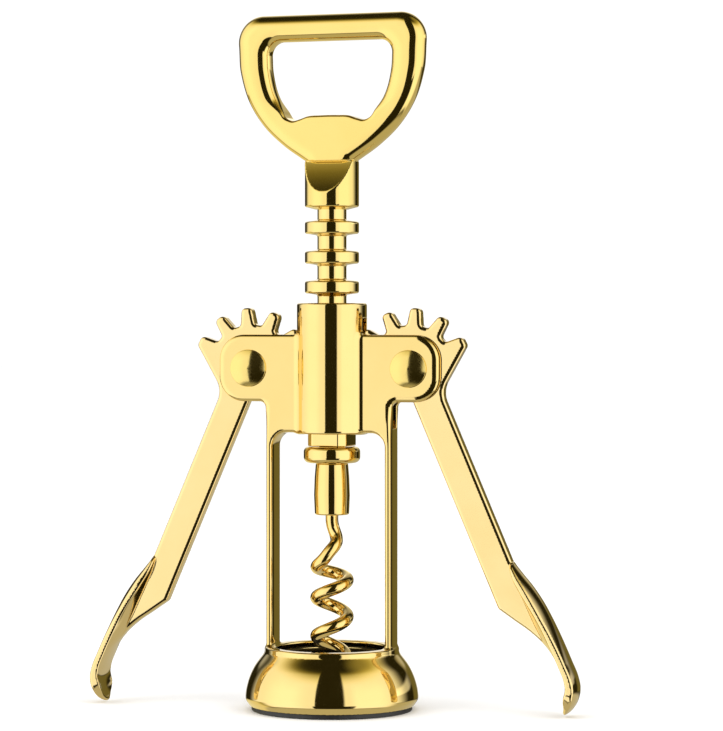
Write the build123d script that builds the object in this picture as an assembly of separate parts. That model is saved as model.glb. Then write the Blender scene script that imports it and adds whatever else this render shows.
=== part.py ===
from build123d import *
import math
import os

# Lever corkscrew with a bottle-opener handle. All sizes are in millimetres.
# The origin is the centre of the underside, +X is to the right, -Y is the front and +Z is up.

# Bell and bottle guard
BELL_R = 21.6
BELL_FOOT_R = 20.5
BELL_FOOT_Z = 1.2
BELL_TOP = 15.8
RIM_R = 16.75
MOUTH_R = 13.9
GUARD_FLANGE_R = 20.1
GUARD_SLEEVE_R = 16.8
NECK_BORE_R = 15.0
NECK_BORE_LENGTH = 9.5
GUARD_TOP = 11.0
GUARD_HOLE_R = 10.5

# Frame: two plates with ears, a barrel between them and two legs
HALF_DEPTH = 4.4
SLOT_HALF = 2.2
SLOT_BOTTOM = 71.5
SLOT_TOP = 97.8
EAR_X = 28.1
EAR_TOP = 93.7
EAR_BOTTOM = 77.0
EAR_CORNER_R = 6.3
EAR_ROOT_R = 1.4
LEG_OUT = 16.2
LEG_IN = 14.2
LEG_FOOT = 12.6
CROTCH_Z = 69.2
CROTCH_R = 3.5
EDGE_R = 0.8
BARREL_R = 8.8
BARREL_BORE_R = 7.0
BARREL_BOTTOM = 69.0
BARREL_TOP = 101.6
BARREL_EDGE_R = 0.5

# Pivots of the two levers
PIVOT_X = 20.5
PIVOT_Z = 85.3
RIVET_R = 2.5
RIVET_HEAD_R = 4.42
RIVET_DOME = 1.9
PIVOT_CLEARANCE = 0.05

# Levers: a seven-tooth sector, an arm and a grip with a flange
LEVER_HALF = 1.9
TEETH = 7
TOOTH_PITCH = 28.8
FIRST_TOOTH = 110.9
GEAR_TIP_R = 15.0
GEAR_ROOT_R = 11.0
TOOTH_TIP_HALF = 1.12
TOOTH_ROOT_HALF = 1.75
TOOTH_ROUND = 0.8
GEAR_SWEEP_R = 15.6
ARM_ANGLE = 23.0
ARM_INNER = 2.7
ARM_OUTER = 4.9
GRIP_HALF = 5.7
GRIP_THICKNESS = 2.4

# Spindle with its rack rings
TURN = -7.0
RING_R = 6.8
RING_HEIGHT = 3.25
RING_PITCH = 7.43
RING_COUNT = 7
FIRST_RING_Z = 75.82
RING_EDGE_R = 0.45
NECK_R = 3.65
SQUARE_FLATS = 10.3
SQUARE_CHAMFER = 1.65
SQUARE_BOTTOM = 65.9
JOURNAL_R = 3.0
TENON_R = 2.4
TENON_BOTTOM = 56.0
HEAD_TENON_R = 2.8
HEAD_TENON_TOP = 135.0

# Handle: ferrule and loop
FERRULE_R = 6.8
FERRULE_BOTTOM = 125.6
FERRULE_EDGE_R = 0.6
LOOP_HALF = 3.3
LOOP_EDGE_R = 1.5
LOOP_TOP = 173.9
LOOP_BASE = 137.0
OPENING_TOP = 167.1
SCOOP_TOP = 137.0
SCOOP_BOTTOM = 129.4
PIN_R = 1.2
PIN_Z = 128.9

# Stop collar and worm chuck
COLLAR_R = 7.1
COLLAR_BOTTOM = 61.7
COLLAR_TOP = 65.8
COLLAR_EDGE_R = 1.2
CHUCK_TOP = 61.6
CHUCK_BOTTOM = 48.7
CHUCK_R = 4.45
CHUCK_TOP_R = 3.95
CHUCK_FOOT_R = 4.2

# Worm
WIRE_R = 1.6
WORM_R = 3.85
WORM_PITCH = 9.6
WORM_START_Z = 47.6
WORM_FULL_Z = 34.4
TAPER_Z = 17.0
WORM_TIP_Z = 10.6
TIP_R = 0.35
LEFT_ANGLE = 194.0
LEFT_Z = 28.0
SHANK_TOP = 55.5


def cylinder(radius, low, high):
    return Pos(0, 0, low) * Cylinder(radius, high - low, align=(Align.CENTER, Align.CENTER, Align.MIN))


def lathe(*curves):
    """Turn a closed outline, drawn in the XZ plane, about the Z axis."""
    outline = Curve() + list(curves)
    return revolve(make_face(outline.edges()), Axis.Z)


def path(points):
    return Polyline(*[(r, 0, z) for r, z in points])


def smooth(points):
    return Spline(*[(r, 0, z) for r, z in points])


def mirrored(points):
    """The same outline points on the other side of the middle plane, in reverse order."""
    return [(-x, z) for x, z in reversed(points)]


def at_x(sketch, x, z):
    return [v for v in sketch.vertices() if abs(abs(v.X) - x) < 0.01 and abs(v.Y - z) < 0.01]


def bell():
    inner = [(MOUTH_R, 13.6), (17.3, 10.9), (19.2, 6.0), (19.6, BELL_FOOT_Z)]
    outer = [(BELL_FOOT_R, BELL_FOOT_Z), (BELL_R, 3.0), (21.1, 6.8), (19.4, 10.9), (RIM_R, 14.6)]
    return lathe(
        smooth(outer),
        path([(RIM_R, 14.6), (RIM_R, 15.2)]),
        ThreePointArc((RIM_R, 0, 15.2), (RIM_R - 0.18, 0, 15.62), (RIM_R - 0.6, 0, BELL_TOP)),
        path([(RIM_R - 0.6, BELL_TOP), (MOUTH_R + 0.5, BELL_TOP)]),
        ThreePointArc((MOUTH_R + 0.5, 0, BELL_TOP), (MOUTH_R + 0.15, 0, 15.65), (MOUTH_R, 0, 15.3)),
        path([(MOUTH_R, 15.3), inner[0]]),
        smooth(inner),
        path([inner[-1], outer[0]]),
    )


def plates_and_legs():
    half = [
        (EAR_X, EAR_TOP), (EAR_X, EAR_BOTTOM), (LEG_OUT, EAR_BOTTOM), (LEG_OUT, LEG_FOOT),
        (LEG_IN, LEG_FOOT), (LEG_IN, CROTCH_Z),
    ]
    outline = Polygon(*half, *mirrored(half), align=None)
    outline = fillet(at_x(outline, EAR_X, EAR_TOP) + at_x(outline, EAR_X, EAR_BOTTOM), EAR_CORNER_R)
    outline = fillet(at_x(outline, LEG_OUT, EAR_BOTTOM), EAR_ROOT_R)
    outline = fillet(at_x(outline, LEG_IN, CROTCH_Z), CROTCH_R)
    body = extrude(Plane.XZ * outline, HALF_DEPTH, both=True)
    rims = [
        e for e in body.edges()
        if abs(abs(e.center().Y) - HALF_DEPTH) < 0.001 and e.center().Z > LEG_FOOT + 0.1
    ]
    return fillet(rims, EDGE_R)


def frame_casting():
    barrel = cylinder(BARREL_R, BARREL_BOTTOM, BARREL_TOP)
    barrel = fillet(barrel.edges().filter_by(GeomType.CIRCLE), BARREL_EDGE_R)
    body = plates_and_legs() + barrel + bell()
    slot = Pos(0, 0, SLOT_BOTTOM) * Box(
        2 * EAR_X + 2, 2 * SLOT_HALF, SLOT_TOP - SLOT_BOTTOM, align=(Align.CENTER, Align.CENTER, Align.MIN)
    )
    body = body - slot - cylinder(BARREL_BORE_R, BARREL_BOTTOM - 1, BARREL_TOP + 1)
    for side in (-1, 1):
        pivot = Pos(side * PIVOT_X, 0, PIVOT_Z) * Rot(90, 0, 0)
        body = body - pivot * Cylinder(GEAR_SWEEP_R, 2 * SLOT_HALF)
        body = body - pivot * Cylinder(RIVET_R, 3 * HALF_DEPTH)
    return body


def bottle_guard():
    """Plastic seat for the bottle's neck, held inside the bell."""
    outline = [
        (NECK_BORE_R, 0), (GUARD_FLANGE_R - 0.3, 0), (GUARD_FLANGE_R, 0.3), (GUARD_FLANGE_R, BELL_FOOT_Z),
        (GUARD_SLEEVE_R, BELL_FOOT_Z), (GUARD_SLEEVE_R, GUARD_TOP), (GUARD_HOLE_R, GUARD_TOP),
        (GUARD_HOLE_R, NECK_BORE_LENGTH), (NECK_BORE_R, NECK_BORE_LENGTH), (NECK_BORE_R, 0),
    ]
    return lathe(path(outline))


def pivot_rivet(side):
    """Rivet through both plates, with a domed head at each end."""
    dome_r = (RIVET_HEAD_R ** 2 + RIVET_DOME ** 2) / (2 * RIVET_DOME)
    head = cylinder(RIVET_HEAD_R, HALF_DEPTH, HALF_DEPTH + RIVET_DOME)
    head = head & Pos(0, 0, HALF_DEPTH + RIVET_DOME - dome_r) * Sphere(dome_r)
    body = cylinder(RIVET_R, -HALF_DEPTH, HALF_DEPTH) + head + mirror(head, Plane.XY)
    return Pos(side * PIVOT_X, 0, PIVOT_Z) * Rot(90, 0, 0) * body


def gear_point(angle, radius, across):
    """A point of the right lever's sector. The angle is from straight up towards the barrel."""
    turn = math.radians(angle) + across / radius
    return PIVOT_X - radius * math.sin(turn), PIVOT_Z + radius * math.cos(turn)


def arm_point(along, across):
    """A point of the right lever's arm: along it from the pivot, and across it, away from the barrel."""
    turn = math.radians(ARM_ANGLE)
    x = PIVOT_X + along * math.sin(turn) + across * math.cos(turn)
    return x, PIVOT_Z - along * math.cos(turn) + across * math.sin(turn)


GRIP_OUTER = [
    arm_point(52.0, ARM_OUTER), (50.9, 32.6), (55.9, 24.6), (60.4, 14.4),
    (62.6, 8.0), (62.3, 4.2), (59.9, 0.9),
]
GRIP_INNER = [(58.0, 1.6), (58.1, 7.4), (56.4, 13.4), (52.2, 19.6), (47.0, 23.4), (43.4, 25.2)]


def round_corners(outline, centre, reach, radius):
    """Rounds the corners of an outline that lie at one distance from a centre."""
    corners = [
        v for v in outline.vertices()
        if abs(math.hypot(v.X - centre[0], v.Y - centre[1]) - reach) < 0.05
    ]
    return fillet(corners, radius)


def lever_outline():
    """Plane outline of the right lever: gear sector, arm, grip and the straight inner edge."""
    teeth = []
    for index in range(TEETH):
        angle = FIRST_TOOTH - index * TOOTH_PITCH
        teeth += [
            gear_point(angle, GEAR_ROOT_R, TOOTH_ROOT_HALF),
            gear_point(angle, GEAR_TIP_R, TOOTH_TIP_HALF),
            gear_point(angle, GEAR_TIP_R, -TOOTH_TIP_HALF),
            gear_point(angle, GEAR_ROOT_R, -TOOTH_ROOT_HALF),
        ]
    teeth.pop()
    waist = (PIVOT_X + 7.7, PIVOT_Z - 5.6)
    hub = [arm_point(6.5, -ARM_INNER), (PIVOT_X - 6.5, PIVOT_Z - 7.0)]
    grip_corner = arm_point(63.2, -ARM_INNER)
    tip = Spline(GRIP_OUTER[-1], (58.9, 0.45), GRIP_INNER[0])
    edges = Polyline(grip_corner, *hub, *teeth, waist, GRIP_OUTER[0])
    edges += Spline(*GRIP_OUTER)
    edges += tip
    edges += Spline(*GRIP_INNER)
    edges += Line(GRIP_INNER[-1], grip_corner)
    outline = make_face(edges.edges())
    outline = round_corners(outline, (PIVOT_X, PIVOT_Z), GEAR_TIP_R, TOOTH_ROUND)
    outline = round_corners(outline, (PIVOT_X, PIVOT_Z), GEAR_ROOT_R, TOOTH_ROUND)
    return round_corners(outline, waist, 0, 6.0)


def grip_flange():
    """Curved flange along the outside of the grip, narrow where it starts and round at the tip."""
    rim = Spline(*GRIP_OUTER)
    inner = []
    for step in range(9):
        point = rim @ (step / 8)
        tangent = rim % (step / 8)
        inner.append((point.X + tangent.Y * GRIP_THICKNESS, point.Y - tangent.X * GRIP_THICKNESS))
    band_edges = rim + Line(rim @ 1, inner[-1]) + Spline(*inner) + Line(inner[0], rim @ 0)
    band = extrude(Plane.XZ * make_face(band_edges.edges()), GRIP_HALF + 1, both=True)
    chord = rim @ 1 - rim @ 0
    length = chord.length
    widths = [(0, 1.3), (5, 3.7), (12, 5.4), (19, GRIP_HALF)]
    blunt = [
        (length - 7, GRIP_HALF), (length - 2, 4.6), (length + 0.4, 0),
        (length - 2, -4.6), (length - 7, -GRIP_HALF),
    ]
    lower = [(s, -w) for s, w in reversed(widths)]
    leaf_edges = Spline(*widths) + Line(widths[-1], blunt[0]) + Spline(*blunt)
    leaf_edges += Line(blunt[-1], lower[0]) + Spline(*lower) + Line(lower[-1], widths[0])
    along = Vector(chord.X, 0, chord.Y)
    plane = Plane(origin=((rim @ 0).X, 0, (rim @ 0).Y), x_dir=along, z_dir=along.cross(Vector(0, 1, 0)))
    leaf = extrude(plane * make_face(leaf_edges.edges()), 20, both=True)
    return band & leaf


def lever_right():
    web = extrude(Plane.XZ * lever_outline(), LEVER_HALF, both=True)
    bore = Pos(PIVOT_X, 0, PIVOT_Z) * Rot(90, 0, 0) * Cylinder(RIVET_R + PIVOT_CLEARANCE, 3 * LEVER_HALF)
    return web + grip_flange() - bore


def rack_spindle():
    """Grooved stem with a square neck, a journal for the collar and a tenon at each end."""
    first = FIRST_RING_Z - RING_HEIGHT / 2
    body = cylinder(NECK_R, first, FERRULE_BOTTOM)
    for index in range(RING_COUNT):
        low = first + index * RING_PITCH
        ring = cylinder(RING_R, low, low + RING_HEIGHT)
        body += fillet(ring.edges().filter_by(GeomType.CIRCLE), RING_EDGE_R)
    square = Pos(0, 0, SQUARE_BOTTOM) * Box(
        SQUARE_FLATS, SQUARE_FLATS, first - SQUARE_BOTTOM, align=(Align.CENTER, Align.CENTER, Align.MIN)
    )
    body += chamfer(square.edges().filter_by(Axis.Z), SQUARE_CHAMFER)
    body += cylinder(JOURNAL_R, CHUCK_TOP, SQUARE_BOTTOM)
    body += cylinder(TENON_R, TENON_BOTTOM, CHUCK_TOP)
    body += cylinder(HEAD_TENON_R, FERRULE_BOTTOM, HEAD_TENON_TOP)
    return Rot(0, 0, TURN) * (body - pin_hole())


def pin_hole():
    return Pos(0, 0, PIN_Z) * Rot(0, 90, 0) * Cylinder(PIN_R, 3 * FERRULE_R)


def loop():
    """The handle's loop: a flat top, sides that narrow to the ferrule and a lip across the opening."""
    side = [(24.75, 167.1), (23.7, 159.5), (20.9, 151.5), (17.1, 145.6), (12.3, 141.0), (6.4, LOOP_BASE)]
    outer = Polyline((-18.0, LOOP_TOP), (18.0, LOOP_TOP))
    outer += Polyline((-6.4, LOOP_BASE), (6.4, LOOP_BASE))
    edge = [(16.3, 163.9), (16.2, 160.0), (14.9, 154.8), (12.4, 149.9)]
    lip = [(12.4, 149.9), (11.3, 148.0), (9.6, 147.2), (7.6, 147.6), (5.4, 148.3), (2.5, 148.45)]
    inner = Polyline((-13.1, OPENING_TOP), (13.1, OPENING_TOP))
    inner += Line((2.5, 148.45), (-2.5, 148.45))
    for sign in (-1, 1):
        outer += Spline(*[(sign * x, z) for x, z in side])
        shoulder = [(18.0, LOOP_TOP), (22.8, 171.9), side[0]]
        outer += ThreePointArc(*[(sign * x, z) for x, z in shoulder])
        inner += Spline(*[(sign * x, z) for x, z in edge])
        inner += Spline(*[(sign * x, z) for x, z in lip])
        corner = [(13.1, OPENING_TOP), (15.4, 166.1), edge[0]]
        inner += ThreePointArc(*[(sign * x, z) for x, z in corner])
    outline = make_face(outer.edges()) - make_face(inner.edges())
    body = extrude(Plane.XZ * outline, LOOP_HALF, both=True)
    rims = [
        e for e in body.edges()
        if abs(abs(e.center().Y) - LOOP_HALF) < 0.001 and e.center().Z > LOOP_BASE + 0.1
    ]
    return fillet(rims, LOOP_EDGE_R)


def handle():
    """Loop with a bottle-opener lip, and a ferrule with a sloping scoop at the front and the back."""
    ferrule = cylinder(FERRULE_R, FERRULE_BOTTOM, SCOOP_TOP)
    ferrule = fillet(ferrule.edges().group_by(Axis.Z)[0], FERRULE_EDGE_R)
    run = FERRULE_R - LOOP_HALF
    rise = SCOOP_TOP - SCOOP_BOTTOM
    wedge = Polygon(
        (LOOP_HALF, SCOOP_TOP + 1), (LOOP_HALF, SCOOP_TOP), (FERRULE_R, SCOOP_BOTTOM),
        (FERRULE_R + run, SCOOP_BOTTOM - rise), (FERRULE_R + run, SCOOP_TOP + 1), align=None,
    )
    scoop = extrude(Plane.YZ * wedge, 2 * FERRULE_R, both=True)
    ferrule = ferrule - scoop - mirror(scoop, Plane.XZ)
    body = ferrule + loop() - cylinder(HEAD_TENON_R, FERRULE_BOTTOM, HEAD_TENON_TOP) - pin_hole()
    return Rot(0, 0, TURN) * body


def handle_pin():
    pin = Pos(0, 0, PIN_Z) * Rot(0, 90, 0) * Cylinder(PIN_R, 2 * FERRULE_R - 0.4)
    return Rot(0, 0, TURN) * chamfer(pin.edges().filter_by(GeomType.CIRCLE), 0.2)


def stop_collar():
    body = cylinder(COLLAR_R, COLLAR_BOTTOM, COLLAR_TOP)
    body = fillet(body.edges().filter_by(GeomType.CIRCLE), COLLAR_EDGE_R)
    return body - cylinder(JOURNAL_R + PIVOT_CLEARANCE, COLLAR_BOTTOM - 1, COLLAR_TOP + 1)


def worm_chuck():
    """Barrel-shaped sleeve that joins the worm's shank to the spindle."""
    belly = [
        (CHUCK_TOP_R, CHUCK_TOP - 0.4), (4.2, 58.0), (CHUCK_R, 53.6), (CHUCK_FOOT_R, CHUCK_BOTTOM + 0.5),
    ]
    return lathe(
        smooth(belly),
        path([
            belly[-1], (CHUCK_FOOT_R - 0.5, CHUCK_BOTTOM), (WIRE_R, CHUCK_BOTTOM), (WIRE_R, SHANK_TOP),
            (TENON_R, SHANK_TOP), (TENON_R, CHUCK_TOP), (CHUCK_TOP_R - 0.4, CHUCK_TOP), belly[0],
        ]),
    )


def worm_angle(z):
    return LEFT_ANGLE + 360 * (z - LEFT_Z) / WORM_PITCH


def ramp_point(z):
    """Centre of the wire where it leaves the axis and spreads to the full radius."""
    share = (WORM_START_Z - z) / (WORM_START_Z - WORM_FULL_Z)
    radius = WORM_R * share * share * (3 - 2 * share)
    angle = math.radians(worm_angle(z))
    return Vector(radius * math.cos(angle), radius * math.sin(angle), z)


def ramp_route(coil_tangent):
    """Spline from the shank to the coil, with a point for every thirty degrees of turn."""
    count = round(12 * (WORM_START_Z - WORM_FULL_Z) / WORM_PITCH)
    heights = [WORM_START_Z + (WORM_FULL_Z - WORM_START_Z) * i / count for i in range(count + 1)]
    return Spline(*[ramp_point(z) for z in heights], tangents=[Vector(0, 0, -1), coil_tangent * -1])


def coil_route(low, high):
    return Pos(0, 0, low) * Rot(0, 0, worm_angle(low)) * Helix(WORM_PITCH, high - low, WORM_R)


def wire_section(route, place, radius):
    return Plane(origin=route @ place, z_dir=route % place) * Circle(radius)


def worm():
    """Right-handed wire helix with a straight shank and a pointed tip."""
    coil = coil_route(TAPER_Z, WORM_FULL_Z)
    ramp = ramp_route(coil % 1)
    point = coil_route(WORM_TIP_Z, TAPER_Z)
    body = cylinder(WIRE_R, WORM_START_Z, SHANK_TOP)
    body += sweep(wire_section(ramp, 0, WIRE_R), ramp)
    body += sweep(wire_section(coil, 0, WIRE_R), coil, is_frenet=True)
    ends = [wire_section(point, 0, TIP_R), wire_section(point, 1, WIRE_R)]
    body += sweep(ends, point, is_frenet=True, multisection=True)
    return body


def build():
    right = lever_right()
    return {
        "frame_casting": frame_casting(),
        "bottle_guard": bottle_guard(),
        "pivot_rivet_left": pivot_rivet(-1),
        "pivot_rivet_right": pivot_rivet(1),
        "lever_left": mirror(right, Plane.YZ),
        "lever_right": right,
        "rack_spindle": rack_spindle(),
        "handle": handle(),
        "handle_pin": handle_pin(),
        "stop_collar": stop_collar(),
        "worm_chuck": worm_chuck(),
        "worm": worm(),
    }


if __name__ == "__main__":
    os.makedirs("parts", exist_ok=True)
    for name, shape in build().items():
        export_step(shape, f"parts/{name}.step")
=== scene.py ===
import math

import bpy
import numpy as np
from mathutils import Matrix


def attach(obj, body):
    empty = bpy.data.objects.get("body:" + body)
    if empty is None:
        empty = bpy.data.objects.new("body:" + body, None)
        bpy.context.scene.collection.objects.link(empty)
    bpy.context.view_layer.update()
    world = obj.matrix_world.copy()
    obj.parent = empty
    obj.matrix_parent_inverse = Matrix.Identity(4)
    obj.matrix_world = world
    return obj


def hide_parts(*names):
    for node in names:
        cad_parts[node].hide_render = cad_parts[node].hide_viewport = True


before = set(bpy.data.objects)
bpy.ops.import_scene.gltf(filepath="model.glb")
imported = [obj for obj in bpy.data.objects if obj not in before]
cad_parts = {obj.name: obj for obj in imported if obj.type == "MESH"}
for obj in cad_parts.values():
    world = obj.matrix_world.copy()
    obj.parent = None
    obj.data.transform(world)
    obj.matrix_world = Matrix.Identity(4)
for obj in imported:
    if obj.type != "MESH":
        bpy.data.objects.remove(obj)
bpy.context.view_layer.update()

# Studio picture of a brass-plated lever corkscrew. Shapes are worked out in millimetres and stored in metres.
# The origin is the centre of the underside, +X is to the right, -Y is the front and +Z is up.
MM = 0.001
SMOOTH = None  # in a list of outline nodes: the curve passes through this node without a corner

# Frame casting
HALF_DEPTH = 4.4
SLOT_HALF = 2.2
SLOT_LOW = 71.5
SLOT_HIGH = 97.8
BARREL_R = 8.8
BARREL_LOW = 69.0
BARREL_HIGH = 101.6
BARREL_BORE_R = 7.0
BARREL_BORE_LOW = 60.0
PIVOT_X = 20.5
PIVOT_Z = 85.3
GEAR_SWEEP_R = 15.6
RIVET_R = 2.5
RIVET_HEAD_R = 4.7
RIVET_TOP = 6.05

# Levers
LEVER_HALF = 1.9
ARM_ANGLE = math.radians(23.0)
GEAR_TIP_R = 15.15
GEAR_ROOT_R = 10.9
TOOTH_TIP_HALF = 1.3
TOOTH_ROOT_HALF = 1.9
TOOTH_ANGLES = [110.9, 82.1, 53.3, 24.5, -4.7, -33.9, -62.9]
GRIP_HALF = 5.7
LEAF_ROOT_HALF = 2.3
LEAF_FLARE = 3.4
LEAF_FLARE_RUN = 17.0
LEAF_NOSE = 1.3
LEAF_TOE = 6.8

# Handle and spindle
TURN = math.radians(-7.0)
LOOP_HALF = 3.3
LOOP_ROLL = 4.0
FERRULE_R = 6.8
SCOOP_TOP = 137.0
PIN_R = 1.2
PIN_HALF = 6.6
PIN_Z = 128.9
RING_R = 6.8
RING_PITCH = 7.43
RING_COUNT = 7
FIRST_RING_Z = 75.82
NECK_R = 3.65
STEM_R = 3.0
STEM_LOW = 61.7
STEM_HIGH = 127.0
SQUARE_HALF = 5.15
SQUARE_CORNER = 8.65
SQUARE_LOW = 65.9
SQUARE_HIGH = 74.3

# Worm
WIRE_R = 1.6
TAPER_Z = 17.0
WORM_TIP_Z = 10.6
WORM_TIP_R = 0.35
WORM_SHANK_LOW = 38.0
WORM_SHANK_TOP = 52.0
WORM_TURN = [  # height, and degrees that the wire has turned there
    (WORM_TIP_Z, -458.5), (18.4, -166.0), (28.0, 194.0), (32.4, 374.0), (35.7, 554.0), (40.3, 644.0),
    (43.8, 734.0), (WORM_SHANK_TOP, 900.0),
]
WORM_SPREAD = [  # height, and distance from the axis to the wire's centre
    (WORM_TIP_Z, 3.85), (28.0, 3.85), (33.0, 3.85), (36.0, 3.75), (40.3, 2.3), (43.8, 0.9), (47.6, 0.0),
    (WORM_SHANK_TOP, 0.0),
]


# ---------------------------------------------------------------- outlines and distance fields

def unit(vector):
    return vector / max(float(np.hypot(vector[0], vector[1])), 1e-12)


def turn_between(first, second):
    return math.atan2(first[0] * second[1] - first[1] * second[0], float(first @ second))


def bezier(start, start_dir, end, end_dir):
    """Cubic piece between two points with given directions, close to a circular arc where it can be."""
    chord = float(np.hypot(*(end - start)))
    turn = abs(turn_between(start_dir, end_dir))
    reach = chord / 3 if turn < 0.01 else chord * (2 / 3) * math.tan(turn / 4) / math.sin(turn / 2)
    return [start, start + start_dir * reach, end - end_dir * reach, end]


def round_corner(point, before, after, radius):
    """Cubic pieces of the arc that rounds one corner."""
    turn = turn_between(before, after)
    reach = radius * math.tan(abs(turn) / 2)
    start = point - before * reach
    count = max(1, math.ceil(abs(turn) / math.radians(50)))
    side = math.copysign(1.0, turn)
    centre = start + side * radius * np.array([-before[1], before[0]])
    pieces = []
    for step in range(count):
        ends = []
        for share in (step / count, (step + 1) / count):
            c, s = math.cos(turn * share), math.sin(turn * share)
            direction = np.array([before[0] * c - before[1] * s, before[0] * s + before[1] * c])
            ends.append((centre - side * radius * np.array([-direction[1], direction[0]]), direction))
        pieces.append(bezier(*ends[0], *ends[1]))
    return pieces


class Outline:
    """Smooth plane curve of cubic pieces, with its signed distance: negative on its left side."""

    SPACING = 0.4
    MARGIN = 9.0

    def __init__(self, nodes, closed=True):
        points = [np.array(n[:2], float) for n in nodes]
        count = len(nodes)
        stations = []
        for i, node in enumerate(nodes):
            before = points[i] - points[i - 1] if closed or i else points[1] - points[0]
            after = points[(i + 1) % count] - points[i] if closed or i < count - 1 else before
            if node[2] is SMOOTH:
                near, far = math.hypot(*before), math.hypot(*after)
                direction = unit(unit(before) * far + unit(after) * near)
                stations.append([(points[i], direction)])
            else:
                arcs = round_corner(points[i], unit(before), unit(after), node[2])
                stations.append([(arcs[0][0], unit(before)), arcs, (arcs[-1][3], unit(after))])
        pieces = []
        for i, station in enumerate(stations):
            if len(station) == 3:
                pieces += station[1]
            if closed or i < count - 1:
                pieces.append(bezier(*station[-1], *stations[(i + 1) % count][0]))
        p0, p1, p2, p3 = np.array(pieces).transpose(1, 0, 2)
        self.closed = closed
        self.cubic = np.stack([p0, 3 * (p1 - p0), 3 * (p0 - 2 * p1 + p2), p3 - 3 * p2 + 3 * p1 - p0])
        self.sample()

    def point(self, piece, u):
        a, b, c, d = self.cubic[:, piece]
        u = u[..., None]
        return a + u * (b + u * (c + u * d)), b + u * (2 * c + 3 * u * d), 2 * c + 6 * u * d

    def sample(self):
        """Points along the curve, the length at each piece's start, and a map of the nearest points."""
        steps = np.linspace(0, 1, 33)
        self.length = np.array([
            np.hypot(*np.diff(self.point(np.full(33, i), steps)[0], axis=0).T).sum()
            for i in range(self.cubic.shape[1])
        ])
        self.start = np.concatenate([[0.0], np.cumsum(self.length)])
        piece, place = [], []
        for i, length in enumerate(self.length):
            count = max(3, math.ceil(length / self.SPACING))
            piece += [i] * count
            place += [(k + 0.5) / count for k in range(count)]
        self.piece, self.place = np.array(piece), np.array(place)
        spots = self.point(self.piece, self.place)[0]
        self.low = spots.min(0) - self.MARGIN
        self.cells = np.ceil((spots.max(0) + self.MARGIN - self.low) / self.SPACING).astype(int)
        u = self.low[0] + (np.arange(self.cells[0]) + 0.5) * self.SPACING
        v = self.low[1] + (np.arange(self.cells[1]) + 0.5) * self.SPACING
        self.nearest = np.empty(self.cells, np.int32)
        across = (v[:, None] - spots[None, :, 1]) ** 2
        for i, value in enumerate(u):
            self.nearest[i] = np.argmin((value - spots[:, 0]) ** 2 + across, axis=1)

    def locate(self, u, v):
        """Signed distance of each point, and the length along the curve of its nearest point."""
        u, v = np.broadcast_arrays(u, v)
        shape = u.shape
        query = np.stack([u.ravel(), v.ravel()], 1).astype(float)
        cell = np.clip(((query - self.low) / self.SPACING).astype(int), 0, self.cells - 1)
        guess = self.nearest[cell[:, 0], cell[:, 1]]
        piece, place = self.piece[guess].copy(), self.place[guess].copy()
        last = self.cubic.shape[1]
        for _ in range(4):
            spot, tangent, bend = self.point(piece, place)
            offset = query - spot
            speed = (tangent ** 2).sum(1)
            curve = np.maximum(speed - (offset * bend).sum(1), 0.25 * speed)
            place = place + np.clip((offset * tangent).sum(1) / curve, -1.5, 1.5)
            ahead, back = place > 1, place < 0
            if not self.closed:
                ahead &= piece < last - 1
                back &= piece > 0
            after, before = (piece + 1) % last, (piece - 1) % last
            place = np.where(ahead, (place - 1) * self.length[piece] / self.length[after], place)
            place = np.where(back, 1 + place * self.length[piece] / self.length[before], place)
            piece = np.where(ahead, after, np.where(back, before, piece))
            place = np.clip(place, 0, 1)
        spot, tangent, _ = self.point(piece, place)
        offset = query - spot
        side = (offset[:, 0] * tangent[:, 1] - offset[:, 1] * tangent[:, 0]) / np.sqrt((tangent ** 2).sum(1))
        distance = np.where(np.abs(side) > 1e-9, np.sign(side), 1) * np.hypot(*offset.T)
        return distance.reshape(shape), (self.start[piece] + place * self.length[piece]).reshape(shape)

    def distance(self, u, v):
        return self.locate(u, v)[0]

    def profile(self, chord):
        """Points and outward normals along the curve, closer together where it bends."""
        points, normals = [], []
        for i in range(self.cubic.shape[1]):
            ends = self.point(np.array([i, i]), np.array([0.0, 1.0]))[1]
            bend = abs(turn_between(unit(ends[0]), unit(ends[1])))
            count = max(1, math.ceil(bend / math.radians(12)), math.ceil(self.length[i] * bend / chord))
            spot, tangent, _ = self.point(np.full(count, i), np.arange(count) / count)
            tangent /= np.hypot(*tangent.T)[:, None]
            points.append(spot)
            normals.append(np.stack([tangent[:, 1], -tangent[:, 0]], 1))
        return np.concatenate(points), np.concatenate(normals)


def union(first, second, radius):
    """Both shapes, with a concave fillet where they meet."""
    u = np.maximum(radius - first, 0)
    v = np.maximum(radius - second, 0)
    return np.maximum(radius, np.minimum(first, second)) - np.hypot(u, v)


def common(first, second, radius):
    """The space inside both shapes, with the edge between them rounded."""
    u = np.maximum(radius + first, 0)
    v = np.maximum(radius + second, 0)
    return np.minimum(-radius, np.maximum(first, second)) + np.hypot(u, v)


def cut(shape, tool, radius):
    return common(shape, -tool, radius)


def extrude(flat, y, half, reach, depth, power=2.0):
    """Plate from a plane distance. Its edges roll off over reach in the plane and over depth through it.
    Power 2 makes the roll-off a quarter of an ellipse, and higher powers make it squarer."""
    u = np.maximum((flat + reach) / reach, 0)
    v = np.maximum((np.abs(y) - half + depth) / depth, 0)
    k = np.maximum((u ** power + v ** power) ** (1 / power), 1e-6)
    slope = np.hypot((u / k) ** (power - 1) / reach, (v / k) ** (power - 1) / depth)
    return np.where(k > 0.05, (k - 1) / np.maximum(slope, 1e-9), np.maximum(flat, np.abs(y) - half))


def slab(value, low, high):
    return np.maximum(low - value, value - high)


def ramp(value, knots):
    """Smooth steps between (place, level) knots."""
    result = np.full(np.shape(value), float(knots[0][1]))
    for (start, before), (end, after) in zip(knots, knots[1:]):
        share = np.clip((value - start) / (end - start), 0, 1)
        result = result + (after - before) * share * share * (3 - 2 * share)
    return result


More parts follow.
